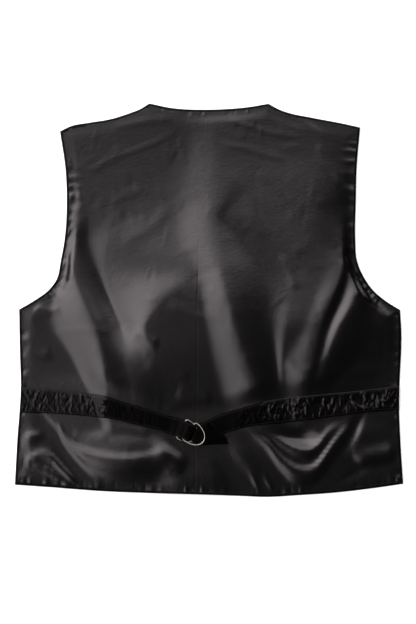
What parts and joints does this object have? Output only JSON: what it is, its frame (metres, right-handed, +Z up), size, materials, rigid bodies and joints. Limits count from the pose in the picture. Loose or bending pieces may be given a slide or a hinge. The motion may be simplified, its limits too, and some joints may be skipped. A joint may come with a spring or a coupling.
{
  "type": "suede vest with a satin back",
  "caption": "Sleeveless V-neck vest with suede fronts, laid flat with its back up: satin back with a centre seam and a cinch strap woven through D-rings.",
  "frame": {"origin": "on the surface the vest lies on, under the middle of its outline", "axes": "+Z up, out of the back; +Y from the hem towards the shoulders; +X to the right in the picture"},
  "size_m": [0.5504, 0.5576, 0.0212],
  "materials": {
    "satin": "black satin, soft sheen, fine twill",
    "strap_satin": "black satin, crinkled where it is sewn down",
    "suede": "black suede with a short nap",
    "steel": "polished nickel plate",
    "button": "satin black"
  },
  "bodies": {
    "root": {"back_left": "satin", "back_right": "satin", "front_left": "suede", "front_right": "suede", "strap_left": "strap_satin", "strap_right": "strap_satin", "ring_lower": "steel", "ring_upper": "steel", "button_1": "button", "button_2": "button", "button_3": "button", "button_4": "button"}
  },
  "joints": []
}
